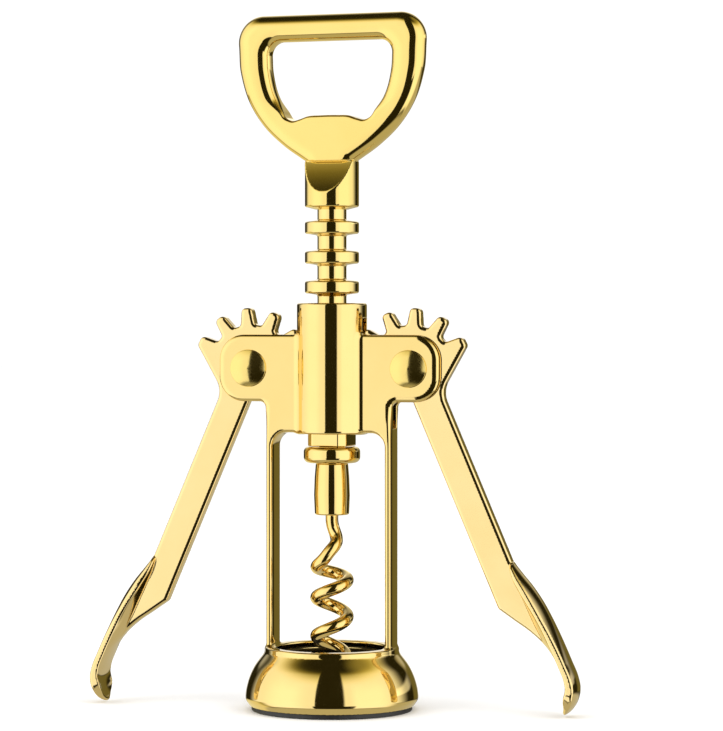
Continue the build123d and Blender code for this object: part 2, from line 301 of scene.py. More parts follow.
def curve_through(value, knots):
    """Smooth curve through (place, level) knots."""
    places, levels = np.array(knots, float).T
    slopes = np.gradient(levels, places)
    value = np.clip(value, places[0], places[-1])
    i = np.clip(np.searchsorted(places, value) - 1, 0, len(places) - 2)
    span = places[i + 1] - places[i]
    t = (value - places[i]) / span
    rest = 1 - t
    result = levels[i] * (1 + 2 * t) * rest ** 2 + levels[i + 1] * t ** 2 * (1 + 2 * rest)
    return result + span * t * rest * (slopes[i] * rest - slopes[i + 1] * t)


def both_sides(nodes):
    """Right-hand nodes, from the bottom up, and then their mirror images from the top down."""
    return nodes + [(-u, v, r) for u, v, r in reversed(nodes)]


# ---------------------------------------------------------------- shapes

FRAME_OUTLINE = Outline(both_sides([
    (16.2, 12.6, 0.3), (16.2, 77.0, 1.4), (28.1, 77.0, 6.3), (28.1, 93.7, 6.3),
]))
WINDOW = Outline(both_sides([(14.2, 8.0, 0.5), (14.2, 69.2, 3.5)]))
BELL = Outline([
    (20.5, 1.2, 0.25), (21.6, 3.0, SMOOTH), (21.55, 4.6, SMOOTH), (21.1, 6.8, SMOOTH), (19.4, 10.9, SMOOTH),
    (16.75, 14.5, 0.7), (16.75, 15.8, 0.55), (13.9, 15.8, 0.5), (13.9, 13.6, 1.5),
    (17.3, 10.9, SMOOTH), (19.2, 6.0, SMOOTH), (19.6, 1.2, 0.15),
])
LOOP = Outline(both_sides([
    (6.4, 129.0, 0.3), (6.4, 136.8, 0.4), (12.6, 141.0, SMOOTH), (17.6, 145.6, SMOOTH),
    (21.6, 151.5, SMOOTH), (24.35, 159.5, SMOOTH), (25.6, 173.9, 6.8),
]))
OPENING = Outline(both_sides([
    (2.5, 148.45, SMOOTH), (5.4, 148.3, SMOOTH), (7.6, 147.6, SMOOTH), (9.6, 147.2, SMOOTH),
    (11.3, 148.0, SMOOTH), (12.4, 149.9, SMOOTH), (14.9, 154.8, SMOOTH), (16.1, 160.0, SMOOTH),
    (16.5, 167.1, 3.3),
]))
SCOOP = Outline([
    (8.6, 126.4, SMOOTH), (6.75, 129.2, SMOOTH), (5.45, 131.3, SMOOTH), (4.35, 133.2, SMOOTH),
    (3.27, 135.2, SMOOTH), (2.37, 137.0, SMOOTH), (1.65, 138.6, SMOOTH),
], closed=False)
FERRULE = Outline([
    (-3.0, 124.9, 0.2), (4.0, 124.9, 0.3), (FERRULE_R, 125.6, 0.55), (FERRULE_R, SCOOP_TOP, 0.2),
    (-3.0, SCOOP_TOP, 0.2),
])


def frame_field(x, y, z):
    """Two eared plates with legs, the barrel between them and the bell under them. Legs are rounder."""
    rho = np.hypot(x, y)
    flat = np.maximum(FRAME_OUTLINE.distance(x, z), -WINDOW.distance(x, z))
    leg = ramp(z, [(66.0, 1.0), (77.0, 0.0)])
    plates = extrude(flat, y, HALF_DEPTH, 1.6 - 0.45 * leg, 0.75 + 3.65 * leg, 2.0 + 1.6 * leg)
    barrel = common(rho - BARREL_R, slab(z, BARREL_LOW, BARREL_HIGH), 0.6)
    body = union(plates, barrel, 1.1)
    body = union(body, BELL.distance(rho, z), 0.8)
    pivots = np.minimum(np.hypot(x - PIVOT_X, z - PIVOT_Z), np.hypot(x + PIVOT_X, z - PIVOT_Z))
    slot = np.minimum(slab(z, SLOT_LOW, SLOT_HIGH) + 0 * x, pivots - GEAR_SWEEP_R)
    body = cut(body, np.maximum(slot, np.abs(y) - SLOT_HALF), 0.25)
    body = cut(body, np.where(z > BARREL_BORE_LOW, rho - BARREL_BORE_R, 99.0), 0.35)
    return cut(body, pivots - RIVET_R, 0.1)


def handle_field(x, y, z):
    """Loop with an opener's lip, and a ferrule with a sloping scoop at the front and the back.
    The loop's top bar is rounder than its sides, and the opening's edge is crisp only at the lip."""
    roundness = ramp(z, [(152.0, 2.6), (164.0, 2.0)])
    loop = extrude(LOOP.distance(x, z), y, LOOP_HALF, LOOP_ROLL, LOOP_HALF, roundness)
    side = ramp(z, [(148.3, 0.0), (153.0, 1.0)])
    rim = extrude(-OPENING.distance(x, z), y, LOOP_HALF, 0.9 + 3.1 * side, 0.8 + 2.5 * side, 2.0 + 0.6 * side)
    loop = common(np.maximum(loop, rim), SCOOP_TOP + 0.1 - z, 0.2)
    ferrule = common(FERRULE.distance(np.hypot(x, y), z), SCOOP.distance(np.abs(y), z), 0.15)
    return union(loop, ferrule, 0.3)


def arm_point(along, across):
    """A point of the right arm: along it from the pivot, and across it, away from the barrel."""
    c, s = math.cos(ARM_ANGLE), math.sin(ARM_ANGLE)
    return PIVOT_X + along * s + across * c, PIVOT_Z - along * c + across * s


def tooth_nodes(angle):
    """Root, tip, tip and root of one tooth. The angle is from straight up, towards the barrel."""
    nodes = []
    for radius, half, rounding in (
        (GEAR_ROOT_R, TOOTH_ROOT_HALF, 0.85), (GEAR_TIP_R, TOOTH_TIP_HALF, 1.2),
        (GEAR_TIP_R, -TOOTH_TIP_HALF, 1.2), (GEAR_ROOT_R, -TOOTH_ROOT_HALF, 0.85),
    ):
        turn = math.radians(angle) + half / radius
        nodes.append((PIVOT_X - radius * math.sin(turn), PIVOT_Z + radius * math.cos(turn), rounding))
    return nodes


def lever_outline():
    """Sector, arm and web of the right lever. The web's outer side stays inside the grip's leaf."""
    nodes = [
        (*arm_point(63.0, -2.7), 1.6), (*arm_point(6.5, -2.7), 0.8), (PIVOT_X - 6.5, PIVOT_Z - 7.0, 0.8),
    ]
    for angle in TOOTH_ANGLES:
        nodes += tooth_nodes(angle)
    nodes.pop()
    nodes += [
        (PIVOT_X + 7.7, PIVOT_Z - 5.6, 6.0), (*arm_point(53.5, 4.9), 1.5), (49.4, 31.4, SMOOTH),
        (52.2, 27.4, SMOOTH), (54.4, 23.4, SMOOTH), (56.4, 19.0, SMOOTH), (57.6, 16.2, 0.9),
        (56.6, 15.6, 0.5), (54.9, 16.9, SMOOTH), (53.1, 18.7, SMOOTH), (50.5, 20.9, SMOOTH),
        (47.1, 23.2, SMOOTH),
    ]
    return Outline(nodes[::-1])


LEVER = lever_outline()
CREST = Outline([
    (44.2, 41.2, SMOOTH), (46.4, 37.5, SMOOTH), (48.3, 35.1, SMOOTH), (50.9, 32.0, SMOOTH),
    (53.6, 28.1, SMOOTH), (55.75, 24.2, SMOOTH), (58.1, 19.3, SMOOTH), (60.5, 13.7, SMOOTH),
    (62.1, 9.8, SMOOTH), (62.64, 7.0, SMOOTH), (62.4, 5.0, SMOOTH), (61.6, 3.0, SMOOTH),
    (60.3, 1.35, SMOOTH), (58.7, 0.32, SMOOTH), (56.7, -0.4, SMOOTH),
][::-1], closed=False)
LEAF_END = float(CREST.locate(np.array([46.0]), np.array([37.9]))[1][0])
LEAF_TIP = float(CREST.locate(np.array([58.8]), np.array([0.36]))[1][0])


def leaf_field(x, y, z):
    """The grip's leaf: crowned outside, thick in the middle, thin at its rims and scooped at its tip."""
    depth, place = CREST.locate(x, z)
    run = LEAF_END - place
    length = LEAF_END - LEAF_TIP
    share = (y / GRIP_HALF) ** 2
    crown = ramp(run, [(10.0, 1.7), (30.0, 0.9)])
    outer = depth + crown * share
    outer = outer / np.sqrt(1 + (2 * crown * y / GRIP_HALF ** 2) ** 2)
    rim = curve_through(run, [
        (0.0, 1.2), (3.0, 2.0), (7.0, 2.6), (20.0, 2.6), (length - 10.0, 2.7), (length - 7.0, 3.0),
        (length - 5.0, 3.1), (length - 3.2, 2.8), (length - 1.4, 1.9), (length, 1.0),
    ])
    middle = curve_through(run, [
        (0.0, 0.9), (4.7, 2.65), (10.8, 4.05), (18.0, 4.6), (22.0, 4.3), (27.0, 3.1), (length - 8.5, 2.8),
        (length - 5.0, 2.5), (length - 2.5, 1.95), (length, 0.8),
    ])
    inner = -(depth + rim + (middle - rim) * (1 - share))
    flare = np.clip(run / LEAF_FLARE_RUN, 0, 1)
    width = LEAF_ROOT_HALF + LEAF_FLARE * np.sqrt(flare * (2 - flare))
    at_nose = run < LEAF_NOSE
    past_toe = np.maximum(run - (length - LEAF_TOE), 0)
    reach = np.where(at_nose, (run - LEAF_NOSE) / LEAF_NOSE, past_toe / LEAF_TOE)
    scale = np.where(at_nose, LEAF_NOSE, LEAF_TOE)
    k = np.hypot(reach, y / width)
    slope = np.hypot(reach / scale, y / width ** 2)
    plan = (k - 1) * k / np.maximum(slope, 1e-6)
    return common(common(outer, inner, 0.4), plan, 0.4)


def lever_field(x, y, z):
    """The right lever: flat sector, arm and web, the leaf across the web, and the rivet's hole."""
    web = extrude(LEVER.distance(x, z), y, LEVER_HALF, 1.05, 0.55)
    body = union(web, leaf_field(x, y, z), 0.25)
    return cut(body, np.hypot(x - PIVOT_X, z - PIVOT_Z) - RIVET_R - 0.05, 0.1)


def spindle_outline():
    """Half section of the stem and its rings, carried past the axis so that the axis makes no edge."""
    neck_low = FIRST_RING_Z - 1.9 - 4.0
    nodes = [
        (-STEM_R, STEM_LOW, 0.2), (STEM_R, STEM_LOW, 0.2), (STEM_R, neck_low, 0.3), (NECK_R, neck_low, 0.3),
    ]
    for index in range(RING_COUNT):
        z = FIRST_RING_Z + index * RING_PITCH
        nodes += [
            (NECK_R, z - 1.95, 0.35), (RING_R, z - 1.5, 0.6), (RING_R, z + 1.5, 0.6),
            (NECK_R, z + 1.95, 0.35),
        ]
    nodes += [(NECK_R, STEM_HIGH, 0.3), (-STEM_R, STEM_HIGH, 0.2)]
    return Outline(nodes)


SPINDLE = spindle_outline()


def spindle_field(x, y, z):
    """The stem with its rings, and its square part with cut corners."""
    flats = np.maximum(np.abs(x), np.abs(y)) - SQUARE_HALF
    corners = (np.abs(x) + np.abs(y) - SQUARE_CORNER) / math.sqrt(2)
    square = common(common(flats, corners, 0.2), slab(z, SQUARE_LOW, SQUARE_HIGH), 0.25)
    return union(SPINDLE.distance(np.hypot(x, y), z), square, 0.2)


# ---------------------------------------------------------------- meshes

def make_mesh(name, vertices, faces, normals):
    """Object with smooth faces and the exact normals of the shape it was made from."""
    mesh = bpy.data.meshes.new(name)
    mesh.from_pydata((vertices * MM).tolist(), [], faces.tolist() if isinstance(faces, np.ndarray) else faces)
    mesh.polygons.foreach_set("use_smooth", np.ones(len(mesh.polygons), bool))
    mesh.update()
    mesh.normals_split_custom_set_from_vertices(normals.tolist())
    piece = bpy.data.objects.new(name, mesh)
    bpy.context.scene.collection.objects.link(piece)
    return piece


def gradient(field, points, step=0.004):
    """Value and slope of a field, from four points around each place."""
    value = np.zeros(len(points))
    slope = np.zeros((len(points), 3))
    for corner in ((1, -1, -1), (-1, -1, 1), (-1, 1, -1), (1, 1, 1)):
        offset = np.array(corner, float)
        sample = field(*(points + step * offset).T)
        value += sample / 4
        slope += sample[:, None] * offset / (4 * step)
    return value, slope


def surface(field, low, high, spacing):
    """Closed mesh of a field's zero surface: one vertex in each cell it crosses, moved onto the surface."""
    axes = [np.arange(a, b + spacing, spacing) for a, b in zip(low, high)]
    grid = field(axes[0][:, None, None], axes[1][None, :, None], axes[2][None, None, :])
    inside = grid < 0
    corners = [(i, j, k) for i in (0, 1) for j in (0, 1) for k in (0, 1)]
    size = np.array(grid.shape) - 1

    def part(array, corner):
        return array[tuple(slice(c, c + n) for c, n in zip(corner, size))]

    count = sum(part(inside, c).astype(np.int8) for c in corners)
    cells = np.argwhere((count > 0) & (count < 8))
    number = np.full(size, -1, np.int64)
    number[tuple(cells.T)] = np.arange(len(cells))
    total = np.zeros((len(cells), 3))
    hits = np.zeros(len(cells))
    for corner in corners:
        for axis in range(3):
            if corner[axis]:
                continue
            other = list(corner)
            other[axis] = 1
            a = grid[tuple((cells + corner).T)]
            b = grid[tuple((cells + other).T)]
            crossed = (a < 0) != (b < 0)
            share = np.where(crossed, a / np.where(crossed, a - b, 1), 0)
            spot = np.tile(np.array(corner, float), (len(cells), 1))
            spot[:, axis] = share
            total += spot * crossed[:, None]
            hits += crossed
    points = np.array(low) + spacing * (cells + total / hits[:, None])
    faces = []
    for axis in range(3):
        u, v = (axis + 1) % 3, (axis + 2) % 3
        near = [slice(None)] * 3
        far = [slice(None)] * 3
        near[axis], far[axis] = slice(0, -1), slice(1, None)
        changed = inside[tuple(near)] != inside[tuple(far)]
        edges = np.argwhere(changed)
        first, second = edges[:, u], edges[:, v]
        edges = edges[(first > 0) & (second > 0) & (first < size[u]) & (second < size[v])]
        ring = []
        for du, dv in ((1, 1), (0, 1), (0, 0), (1, 0)):
            cell = edges.copy()
            cell[:, u] -= du
            cell[:, v] -= dv
            ring.append(number[tuple(cell.T)])
        quads = np.stack(ring, 1)
        flip = ~inside[tuple(edges.T)]
        quads[flip] = quads[flip, ::-1]
        faces.append(quads)
    for _ in range(3):
        value, slope = gradient(field, points)
        step = slope * (value / np.maximum((slope ** 2).sum(1), 0.05))[:, None]
        points = points - np.clip(step, -spacing, spacing)
    slope = gradient(field, points)[1]
    return points, np.concatenate(faces), slope / np.linalg.norm(slope, axis=1)[:, None]


def turned(vectors, angle):
    """Vectors turned about the Z axis."""
    c, s = math.cos(angle), math.sin(angle)
    x, y, z = vectors.T
    return np.stack([x * c - y * s, x * s + y * c, z], 1)


def lathe(name, outline, segments=96, chord=1.2, axis="Z", centre=(0.0, 0.0, 0.0), yaw=0.0):
    """Closed mesh from an outline turned about an axis, with exact normals. Yaw then turns it about Z."""
    points, normals = outline.profile(chord)
    angles = np.arange(segments) * 2 * math.pi / segments
    c, s = np.cos(angles)[:, None], np.sin(angles)[:, None]

    def spin(values):
        u, v = values[:, 0][None, :], values[:, 1][None, :]
        x, y, z = u * c, u * s, v + 0 * c
        order = {"Z": (x, y, z), "Y": (x, z, -y), "X": (z, x, y)}[axis]
        return turned(np.stack(order, -1).reshape(-1, 3), yaw)

    count = len(points)
    i = np.arange(segments)[:, None]
    j = np.arange(count)[None, :]
    k = (i + 1) % segments
    m = (j + 1) % count
    quads = np.stack([i * count + j, k * count + j, k * count + m, i * count + m], -1).reshape(-1, 4)
    return make_mesh(name, spin(points) + np.array(centre), quads, spin(normals))


def rivet(name, side):
    """Rivet with a domed head at each end. The outline is a thin tube round the axis, closed by the domes."""
    half = [
        (RIVET_R - 0.04, HALF_DEPTH, 0.1), (RIVET_HEAD_R, HALF_DEPTH, 0.05), (4.55, 4.96, 0.15),
        (3.5, 5.42, SMOOTH), (2.4, 5.76, SMOOTH), (1.2, 5.98, SMOOTH), (0.02, RIVET_TOP, 0.01),
    ]
    nodes = [(u, -v, r) for u, v, r in reversed(half)] + half
    return lathe(name, Outline(nodes), 72, 0.6, "Y", (side * PIVOT_X, 0.0, PIVOT_Z))


def worm_route():
    """Centres and radii of the wire from the point at its tip up to its shank."""
    coil = np.arange(WORM_TIP_Z, WORM_SHANK_LOW, 0.13)
    shank = np.arange(WORM_SHANK_LOW, WORM_SHANK_TOP, 0.22)
    z = np.concatenate([coil, shank])
    angle = np.radians(curve_through(z, WORM_TURN))
    radius = curve_through(z, WORM_SPREAD)
    taper = np.clip((z - WORM_TIP_Z) / (TAPER_Z - WORM_TIP_Z), 0, 1)
    wire = WORM_TIP_R + (WIRE_R - WORM_TIP_R) * taper ** 0.8
    return np.stack([radius * np.cos(angle), radius * np.sin(angle), z], 1), wire


def worm_mesh():
    """Round wire along the worm's route, closed at the tip and at the shank."""
    centres, wire = worm_route()
    tangent = np.gradient(centres, axis=0)
    tangent /= np.linalg.norm(tangent, axis=1)[:, None]
    across = [np.cross(tangent[0], (0.0, 0.0, 1.0))]
    for direction in tangent[1:]:
        side = across[-1] - direction * (across[-1] @ direction)
        across.append(side / np.linalg.norm(side))
    across = np.array(across)
    across[0] /= np.linalg.norm(across[0])
    other = np.cross(tangent, across)
    segments = 32
    turn = np.arange(segments) * 2 * math.pi / segments
    c, s = np.cos(turn)[None, :, None], np.sin(turn)[None, :, None]
    normals = across[:, None, :] * c + other[:, None, :] * s
    points = (centres[:, None, :] + normals * wire[:, None, None]).reshape(-1, 3)
    normals = normals.reshape(-1, 3)
    count = len(centres)
    i = np.arange(count - 1)[:, None]
    j = np.arange(segments)[None, :]
    k = (j + 1) % segments
    quads = np.stack([
        i * segments + j, i * segments + k, (i + 1) * segments + k, (i + 1) * segments + j,
    ], -1).reshape(-1, 4).tolist()
    tip, top = len(points), len(points) + 1
    points = np.vstack([points, centres[0] - tangent[0] * wire[0] * 1.2, centres[-1]])
    normals = np.vstack([normals, -tangent[0], tangent[-1]])
    last = (count - 1) * segments
    for a in range(segments):
        b = (a + 1) % segments
        quads.append([b, a, tip])
        quads.append([last + a, last + b, top])
    return make_mesh("worm_wire", points, quads, normals)


# ---------------------------------------------------------------- materials

def node_tree(owner):
    owner.use_nodes = True
    tree = owner.node_tree
    tree.nodes.clear()
    return tree


def add_node(tree, kind, **settings):
    """New node with its properties set by attribute and its inputs by name."""
    node = tree.nodes.new("ShaderNode" + kind)
    for key, value in settings.pop("inputs", {}).items():
        node.inputs[key].default_value = value
    for key, value in settings.items():
        setattr(node, key, value)
    return node


def noise(tree, scale, detail=3.0, stretch=(1.0, 1.0, 1.0)):
    """Noise in the piece's own coordinates. The scale is in cells for each metre."""
    place = add_node(tree, "TexCoord")
    mapping = add_node(tree, "Mapping", inputs={"Scale": stretch})
    texture = add_node(tree, "TexNoise", inputs={"Scale": scale, "Detail": detail, "Roughness": 0.55})
    tree.links.new(place.outputs["Object"], mapping.inputs["Vector"])
    tree.links.new(mapping.outputs["Vector"], texture.inputs["Vector"])
    return texture.outputs["Fac"]


def spread(tree, value, low, high, start=0.3, end=0.7):
    """Maps a noise's usual range to the given one."""
    node = add_node(tree, "MapRange", inputs={
        "From Min": start, "From Max": end, "To Min": low, "To Max": high,
    })
    tree.links.new(value, node.inputs["Value"])
    return node.outputs["Result"]


def mixed(tree, factor, first, second):
    node = add_node(tree, "Mix", data_type="RGBA")
    node.inputs[6].default_value = (*first, 1)
    node.inputs[7].default_value = (*second, 1)
    tree.links.new(factor, node.inputs[0])
    return node.outputs[2]


def bump(tree, layers):
    """Stack of bumps from (height, depth in micrometres) layers."""
    normal = None
    for height, depth in layers:
        node = add_node(tree, "Bump", inputs={"Strength": 1.0, "Distance": depth * 1e-6})
        tree.links.new(height, node.inputs["Height"])
        if normal is not None:
            tree.links.new(normal, node.inputs["Normal"])
        normal = node.outputs["Normal"]
    return normal


def finish_material(tree, shader, sockets):
    for name, value in sockets.items():
        tree.links.new(value, shader.inputs[name])
    output = add_node(tree, "OutputMaterial")
    tree.links.new(shader.outputs["BSDF"], output.inputs["Surface"])


def gold(name, light, deep, rough, ripple, grain=(1.0, 1.0, 1.0)):
    """Polished brass plating, with slow changes of tint, faint haze, casting ripples and polishing lines."""
    material = bpy.data.materials.new(name)
    tree = node_tree(material)
    shader = add_node(tree, "BsdfPrincipled", inputs={"Metallic": 1.0})
    tint = mixed(tree, spread(tree, noise(tree, 60.0), 0.0, 1.0), light, deep)
    lines = noise(tree, 1500.0, 2.0, grain)
    haze = spread(tree, noise(tree, 240.0, 4.0), rough, rough + 0.03)
    roughness = add_node(tree, "Math", operation="MULTIPLY_ADD", inputs={1: 0.02})
    tree.links.new(lines, roughness.inputs[0])
    tree.links.new(haze, roughness.inputs[2])
    broad = noise(tree, 130.0, 1.0)
    small = noise(tree, 420.0, 2.0)
    normal = bump(tree, [(broad, 3.0 * ripple), (small, ripple), (lines, 0.12)])
    finish_material(tree, shader, {"Base Color": tint, "Roughness": roughness.outputs[0], "Normal": normal})
    return material


def plastic(name):
    """Black moulded plastic with a fine matt grain."""
    material = bpy.data.materials.new(name)
    tree = node_tree(material)
    shader = add_node(tree, "BsdfPrincipled", inputs={"Metallic": 0.0, "IOR": 1.5})
    shade = spread(tree, noise(tree, 300.0), 0.0, 1.0)
    tint = mixed(tree, shade, (0.012, 0.012, 0.013), (0.022, 0.021, 0.021))
    roughness = spread(tree, noise(tree, 900.0), 0.38, 0.52)
    normal = bump(tree, [(noise(tree, 2600.0, 2.0), 14.0)])
    finish_material(tree, shader, {"Base Color": tint, "Roughness": roughness, "Normal": normal})
    return material


def steel(name):
    """Cut end and side of a plain steel pin, brushed round its axis."""
    material = bpy.data.materials.new(name)
    tree = node_tree(material)
    shader = add_node(tree, "BsdfPrincipled", inputs={"Metallic": 1.0})
    lines = noise(tree, 900.0, 3.0, (6.0, 1.0, 1.0))
    tint = mixed(tree, spread(tree, lines, 0.0, 1.0), (0.62, 0.60, 0.56), (0.74, 0.73, 0.70))
    roughness = spread(tree, lines, 0.2, 0.34)
    finish_material(tree, shader, {
        "Base Color": tint, "Roughness": roughness, "Normal": bump(tree, [(lines, 1.5)]),
    })
    return material


CAST_GOLD = gold("gold_casting", (0.90, 0.69, 0.285), (0.87, 0.66, 0.255), 0.035, 0.4)
HANDLE_GOLD = gold("gold_handle", (0.89, 0.68, 0.235), (0.86, 0.65, 0.21), 0.04, 0.4)
# The levers' gold is a paler copy of the casting gold, though they are the same plating: painted glare on
# their faces.
LEVER_GOLD_PAINTED_GLARE = gold("gold_lever_painted_glare", (0.92, 0.715, 0.345), (0.89, 0.68, 0.305), 0.035, 0.4)
TURNED_GOLD = gold("gold_turned", (0.90, 0.70, 0.28), (0.87, 0.66, 0.25), 0.03, 0.3, (0.05, 0.05, 4.0))
RIVET_GOLD = gold("gold_rivet", (0.88, 0.68, 0.235), (0.84, 0.64, 0.20), 0.12, 0.25)
WORM_GOLD = gold("gold_worm", (0.92, 0.70, 0.28), (0.87, 0.63, 0.225), 0.05, 0.8)
BLACK_PLASTIC = plastic("black_plastic")
PIN_STEEL = steel("pin_steel")


# ---------------------------------------------------------------- pieces

def install(piece, body, node, material):
    """Gives a piece its material, and puts it on its body in place of its CAD node."""
    piece.data.materials.append(material)
    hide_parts(node)
    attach(piece, body)


def build_frame():
    points, faces, normals = surface(frame_field, (-28.5, -22.0, 0.8), (28.5, 22.0, 102.2), 0.42)
    piece = make_mesh("cast_frame", points, faces, normals)
    install(piece, "frame", "frame_casting", CAST_GOLD)


def build_levers():
    points, faces, normals = surface(lever_field, (5.0, -6.2, -0.2), (63.3, 6.2, 101.2), 0.33)
    flip = np.array([-1.0, 1.0, 1.0])
    right = make_mesh("lever_arm_right", points, faces, normals)
    left = make_mesh("lever_arm_left", points * flip, faces[:, ::-1], normals * flip)
    install(right, "lever_right", "lever_right", LEVER_GOLD_PAINTED_GLARE)
    install(left, "lever_left", "lever_left", LEVER_GOLD_PAINTED_GLARE)


def build_handle():
    points, faces, normals = surface(handle_field, (-26.4, -7.2, 124.3), (26.4, 7.2, 174.4), 0.36)
    piece = make_mesh("opener_handle", turned(points, TURN), faces, turned(normals, TURN))
    install(piece, "spindle", "handle", HANDLE_GOLD)
    pin = Outline([
        (0.02, -PIN_HALF, 0.01), (PIN_R, -PIN_HALF, 0.2), (PIN_R, PIN_HALF, 0.2), (0.02, PIN_HALF, 0.01),
    ])
    piece = lathe("cross_pin", pin, 48, 1.0, "X", (0.0, 0.0, PIN_Z), TURN)
    install(piece, "spindle", "handle_pin", PIN_STEEL)


def build_spindle():
    points, faces, normals = surface(spindle_field, (-7.4, -7.4, 61.3), (7.4, 7.4, 127.4), 0.3)
    piece = make_mesh("ringed_spindle", turned(points, TURN), faces, turned(normals, TURN))
    install(piece, "spindle", "rack_spindle", TURNED_GOLD)
    chuck = Outline([
        (0.5, 48.7, 0.1), (4.3, 48.7, 0.5), (4.5, 53.6, SMOOTH), (4.35, 58.0, SMOOTH), (4.05, 61.6, 0.4),
        (0.5, 61.6, 0.1),
    ])
    install(lathe("worm_sleeve", chuck), "spindle", "worm_chuck", TURNED_GOLD)
    install(worm_mesh(), "spindle", "worm", WORM_GOLD)
    collar = Outline([(3.05, 61.7, 0.2), (7.1, 61.7, 1.45), (7.1, 65.8, 1.35), (3.05, 65.8, 0.2)])
    install(lathe("lower_collar", collar), "carriage", "stop_collar", TURNED_GOLD)


def build_frame_parts():
    guard = Outline([
        (15.0, 0.0, 0.3), (20.1, 0.0, 0.35), (20.1, 1.19, 0.08), (16.8, 1.19, 0.1), (16.8, 11.0, 0.3),
        (10.5, 11.0, 0.25), (10.5, 9.5, 0.25), (15.0, 9.5, 0.3),
    ])
    install(lathe("neck_guard", guard, 128), "frame", "bottle_guard", BLACK_PLASTIC)
    for side, word in ((-1, "left"), (1, "right")):
        piece = rivet("rivet_" + word, side)
        install(piece, "frame", "pivot_rivet_" + word, RIVET_GOLD)


build_frame()
build_levers()
build_handle()
build_spindle()
build_frame_parts()


# ---------------------------------------------------------------- studio

class Formula:
    """Number in a node tree that Python's operators can work on."""

    def __init__(self, tree, socket):
        self.tree = tree
        self.socket = socket

    def math(self, operation, other=None):
        node = add_node(self.tree, "Math", operation=operation)
        self.tree.links.new(self.socket, node.inputs[0])
        if isinstance(other, Formula):
            self.tree.links.new(other.socket, node.inputs[1])
        elif other is not None:
            node.inputs[1].default_value = other
        return Formula(self.tree, node.outputs[0])

    def __add__(self, other):
        return self.math("ADD", other)

    def __mul__(self, other):
        return self.math("MULTIPLY", other)

    def step(self, low, high):
        """0 below low, 1 above high and smooth between them. A high under low turns it round."""
        node = add_node(self.tree, "MapRange", interpolation_type="SMOOTHSTEP")
        node.inputs["From Min"].default_value = low
        node.inputs["From Max"].default_value = high
        self.tree.links.new(self.socket, node.inputs["Value"])
        return Formula(self.tree, node.outputs["Result"])


# Light panels round the object, as reflections show them: colour and brightness, then azimuth from the front
# towards +X and elevation, both in degrees as (start, full, still full, end).
WHITE = (1.0, 1.0, 1.0)
TABLE = (1.0, 0.96, 0.78)
WARM = (1.0, 0.86, 0.25)
AROUND = (-180.0, -175.0, 175.0, 180.0)
LEFT_BOX = (-128.0, -100.0, -9.5, -8.0)
RIGHT_BOX = (28.5, 32.5, 106.0, 138.0)
BACK_BOX = (175.0, 184.0, 204.0, 213.0)
BOX_HEIGHTS = (-9.5, -8.5, 31.0, 54.0)
BOX_FADE = (31.0, 54.0, 31.0, 60.0)
BOX_GLOW = (-9.5, -8.5, 50.0, 66.0)
LOW_HEIGHTS = (-42.0, -36.0, -9.5, -8.5)
SIDE_HEIGHTS = (-42.0, -30.0, 15.0, 45.0)
BACK_HEIGHTS = (-10.0, -7.0, 20.0, 50.0)
PANELS = [
    (WHITE, 1.08, LEFT_BOX, BOX_HEIGHTS),
    (WARM, 1.00, LEFT_BOX, BOX_FADE),
    (WARM, 0.06, LEFT_BOX, BOX_GLOW),
    (WHITE, 1.12, (-98.0, -80.0, -13.0, -11.0), LOW_HEIGHTS),
    (WARM, 0.34, (-170.0, -158.0, -98.0, -80.0), LOW_HEIGHTS),
    (WHITE, 0.20, (-100.0, -60.0, -45.0, -16.0), SIDE_HEIGHTS),
    (WHITE, 1.08, RIGHT_BOX, BOX_HEIGHTS),
    (WARM, 1.00, RIGHT_BOX, BOX_FADE),
    (WARM, 0.06, RIGHT_BOX, BOX_GLOW),
    (WARM, 0.25, (40.0, 90.0, 110.0, 138.0), (30.0, 55.0, 66.0, 82.0)),
    (WHITE, 1.12, (44.0, 48.0, 92.0, 116.0), LOW_HEIGHTS),
    (WHITE, 0.20, (36.0, 50.0, 80.0, 110.0), SIDE_HEIGHTS),
    (WHITE, 0.90, BACK_BOX, BACK_HEIGHTS),
    (WARM, 0.14, (150.0, 158.0, 175.0, 184.0), BACK_HEIGHTS),
    (WHITE, 0.60, (100.0, 112.0, 140.0, 158.0), (3.5, 6.0, 10.0, 14.0)),
    (WHITE, 0.40, (150.0, 166.0, 222.0, 238.0), (9.0, 16.0, 44.0, 64.0)),
    (TABLE, 0.52, (90.0, 112.0, 248.0, 270.0), (-48.0, -38.0, -13.0, -8.0)),
    (TABLE, 0.52, AROUND, (-91.0, -90.5, -48.0, -38.0)),
    (WARM, 0.020, AROUND, (-91.0, -90.5, 90.5, 91.0)),
]
WHITE_SWEEP = 1.06

# Lamps and camera, in metres and degrees
LAMP_DISTANCE = 0.9
LAMP_HEIGHT = 0.8
LAMP_TILT = 50.0
LAMP_POWER = 3.0
LAMP_SIZE = 0.7
CAMERA_AZIMUTH = 14.0
CAMERA_DISTANCE = 0.780
CAMERA_HEIGHT = 0.1016


def panel_mask(azimuth, elevation, sides, heights):
    """1 inside a panel and 0 outside it. Azimuths past 180 degrees are counted on round the back."""
    mask = elevation.step(heights[0], heights[1]) * elevation.step(heights[3], heights[2])
    if sides == AROUND:
        return mask
    if sides[3] > 180:
        azimuth = azimuth + azimuth.math("LESS_THAN", 0.0) * 360.0
    return mask * azimuth.step(sides[0], sides[1]) * azimuth.step(sides[3], sides[2])


